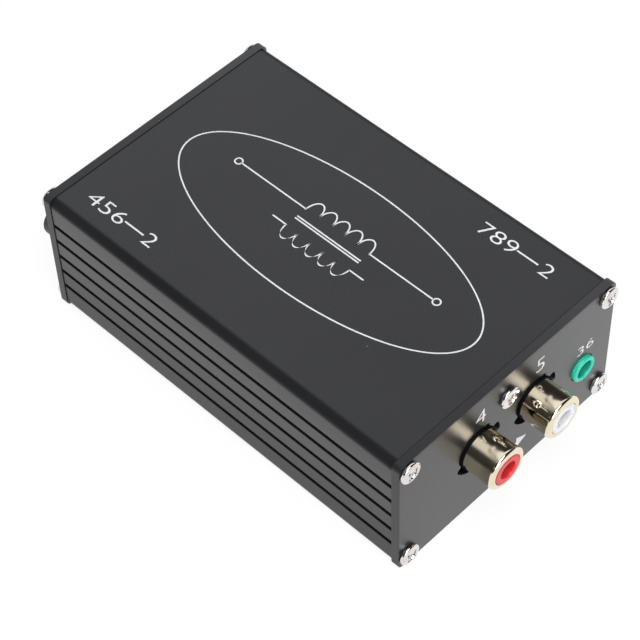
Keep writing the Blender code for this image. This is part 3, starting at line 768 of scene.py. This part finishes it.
def inkPiece(name, shapes, plane):
    whole = bmesh.new()
    for bm in shapes:
        thicken(bm)
        whole.from_mesh(meshFrom(bm, "stroke"))
    mesh = meshFrom(whole, name)
    mesh.transform(plane)
    return place(name, mesh, inkFinish)


def ring(centreX, centreY, radiusX, radiusY, width, steps=160):
    bm = bmesh.new()
    for side in (-0.5, 0.5):
        made = bmesh.ops.create_circle(bm, segments=steps, radius=1.0)
        bmesh.ops.scale(bm, vec=((radiusX + side * width) * mm, (radiusY + side * width) * mm, 1),
                        verts=made["verts"])
    bmesh.ops.bridge_loops(bm, edges=bm.edges[:])
    bmesh.ops.translate(bm, verts=bm.verts, vec=(centreX * mm, centreY * mm, 0))
    return bm


def bar(left, right, low, high):
    bm = bmesh.new()
    bmesh.ops.create_grid(bm, x_segments=1, y_segments=1, size=0.5)
    bmesh.ops.scale(bm, vec=((right - left) * mm, (high - low) * mm, 1), verts=bm.verts)
    middle = ((left + right) / 2 * mm, (low + high) / 2 * mm, 0)
    bmesh.ops.translate(bm, verts=bm.verts, vec=middle)
    return bm


def coil(left, right, base, rise, count):
    # A row of half rings, cut off at its base line
    shapes = []
    pitch = (right - left) / count
    cutSide = (0, -1 if rise > 0 else 1, 0)
    for i in range(count):
        bm = ring(left + (i + 0.5) * pitch, base, pitch / 2, rise, ink["line"], 40)
        everything = bm.verts[:] + bm.edges[:] + bm.faces[:]
        bmesh.ops.bisect_plane(bm, geom=everything, plane_co=(0, base * mm, 0), plane_no=cutSide,
                               clear_outer=True)
        shapes.append(bm)
    return shapes


# On top, x runs from the rear plate to the front plate, and y towards the jack's side
topPrint = {
    "oval": (0.16, 0.4, 33.2, 13.16),
    "coil": (-6.8, 8.0), "rise": 2.6, "turns": 5, "core": (0.6, 0.05),
    "upperRow": 2.7, "lead": 22.4, "dot": 0.7, "lowerRow": -2.1, "tail": 3.2,
    "dashHalf": 0.16,
    "corners": (  # word, dash and digit: left and right of each, then low and high for all three
        ("456", (-36.0, -27.4), (-27.2, -22.6), "2", (-22.2, -19.9), (-21.6, -18.8)),
        ("789", (17.4, 25.2), (25.4, 30.0), "2", (30.8, 33.0), (18.6, 21.4)),
    ),
}


def printTop(marks):
    half = ink["line"] / 2
    shapes = [ring(*marks["oval"], ink["line"])]
    left, right = marks["coil"]
    upper, lower, lead = marks["upperRow"], marks["lowerRow"], marks["lead"]
    tail, dot, dashHalf = marks["tail"], marks["dot"], marks["dashHalf"]
    shapes += coil(left, right, upper, marks["rise"], marks["turns"])
    shapes += coil(left, right, lower, -marks["rise"], marks["turns"])
    for height, start, stop in ((upper, -lead, lead), (lower, left - tail, right + tail)):
        shapes += [bar(start, left + half, height - half, height + half),
                   bar(right - half, stop, height - half, height + half)]
    shapes += [ring(side * (lead + dot), upper, dot, dot, ink["line"], 32) for side in (-1, 1)]
    shapes += [bar(left, right, height - half, height + half) for height in marks["core"]]
    for word, wordSpan, dashSpan, digit, digitSpan, (low, high) in marks["corners"]:
        middle = (low + high) / 2
        shapes.append(inkText(word, *wordSpan, low, high))
        shapes.append(bar(*dashSpan, middle - dashHalf, middle + dashHalf))
        shapes.append(inkText(digit, *digitSpan, low, high))
    inkPiece("topPrint", shapes, topPlane)


def arrow(left, right, low, high, half):
    middle, neck = (low + high) / 2, right - (high - low)
    bm = bmesh.new()
    outline = ((left, middle - half), (neck, middle - half), (neck, low), (right, middle),
               (neck, high), (neck, middle + half), (left, middle + half))
    bm.faces.new([bm.verts.new((x * mm, z * mm, 0)) for x, z in outline])
    return bm


printTop(topPrint)
platePrint = {
    "front": ("4", "5", "36"), "rear": ("7", "8", "39"),
    "spots": ((-8.2, -5.8, 21.5, 24.7), (6.5, 8.5, 21.5, 24.7), (17.4, 21.6, 15.6, 17.7)),
    "arrow": (-2.2, 5.2, 5.0, 7.6, 0.18),
}
for end, turn in ends:
    numbers = zip(platePrint[end], platePrint["spots"])
    shapes = [inkText(number, *spot) for number, spot in numbers]
    shapes.append(arrow(*platePrint["arrow"]))
    inkPiece(f"{end}Print", shapes, turn @ frontPlane)
print("print made")


# Floor, world and lamps

sheetOfPaper = {"size": 3.0, "color": 0.98, "glow": 1.02, "glowShare": 0.88}  # size in metres
bm = bmesh.new()
bmesh.ops.create_grid(bm, x_segments=1, y_segments=1, size=sheetOfPaper["size"])
floor = addObject("floor", meshFrom(bm, "floor"))
paper = bpy.data.materials.new("whitePaper")
paper.use_nodes = True
paper.node_tree.nodes.remove(paper.node_tree.nodes["Principled BSDF"])
matt = addNode(paper, "BsdfDiffuse", {"Color": (*[sheetOfPaper["color"]] * 3, 1.0)})
glow = addNode(paper, "Emission", {"Color": (1.0, 1.0, 1.0, 1.0), "Strength": sheetOfPaper["glow"]})
paperMix = addNode(paper, "MixShader", {"Fac": sheetOfPaper["glowShare"]})
link(paper, matt.outputs[0], paperMix.inputs[1])
link(paper, glow.outputs[0], paperMix.inputs[2])
paperOutput = paper.node_tree.nodes["Material Output"]
link(paper, paperMix.outputs[0], paperOutput.inputs["Surface"])
floor.data.materials.append(paper)

studio = {
    "horizon": 1.0, "horizonTop": 0.02, "above": 0.03, "aboveFrom": 0.12,  # sines of the elevation
    "backToward": (0.2, 1.0, 0.0), "backFrom": 0.31, "backFull": 0.42,  # the white sheet behind
    "backGlow": 1.1, "roomColor": (0.97, 0.985, 1.03, 1.0),
}
world = bpy.context.scene.world or bpy.data.worlds.new("studio")
bpy.context.scene.world = world
world.use_nodes = True
world.node_tree.nodes.clear()
direction = addNode(world, "TexCoord").outputs["Generated"]
upward = addNode(world, "SeparateXYZ")
link(world, direction, upward.inputs[0])
shade = addNode(world, "MapRange", {"From Min": studio["horizonTop"], "From Max": studio["aboveFrom"],
                                    "To Min": studio["horizon"], "To Max": studio["above"]})
link(world, upward.outputs["Z"], shade.inputs["Value"])
behind = addNode(world, "VectorMath", {1: studio["backToward"]}, operation="DOT_PRODUCT")
link(world, direction, behind.inputs[0])
sheet = addNode(world, "MapRange", {"From Min": studio["backFrom"], "From Max": studio["backFull"],
                                    "To Min": 0.0, "To Max": studio["backGlow"]})
link(world, behind.outputs["Value"], sheet.inputs["Value"])
brighter = addNode(world, "Math", operation="MAXIMUM")
link(world, shade.outputs["Result"], brighter.inputs[0])
link(world, sheet.outputs["Result"], brighter.inputs[1])
room = addNode(world, "Background", {"Color": studio["roomColor"]})
link(world, brighter.outputs[0], room.inputs["Strength"])
backdrop = addNode(world, "Background", {"Color": (1.0, 1.0, 1.0, 1.0), "Strength": 1.0})
rays = addNode(world, "LightPath")
worldMix = addNode(world, "MixShader")
link(world, rays.outputs["Is Camera Ray"], worldMix.inputs[0])
link(world, room.outputs[0], worldMix.inputs[1])
link(world, backdrop.outputs[0], worldMix.inputs[2])
link(world, worldMix.outputs[0], addNode(world, "OutputWorld").inputs["Surface"])

lampTarget = Vector((0, 0, 0.015))
lamps = {
    "overheadBox": {"place": (-0.16, -0.36, 0.85), "size": (0.66, 0.66), "power": 7.4},
    "frontBox": {"place": (-0.35, -0.9, 0.34), "size": (0.5, 0.4), "power": 3.2},
}
for name, lamp in lamps.items():
    light = bpy.data.lights.new(name, "AREA")
    light.energy = lamp["power"]
    light.shape = "RECTANGLE"
    light.size, light.size_y = lamp["size"]
    box = addObject(name, light)
    box.location = lamp["place"]
    box.rotation_euler = (lampTarget - box.location).to_track_quat("-Z", "Y").to_euler()
print("lamps set")
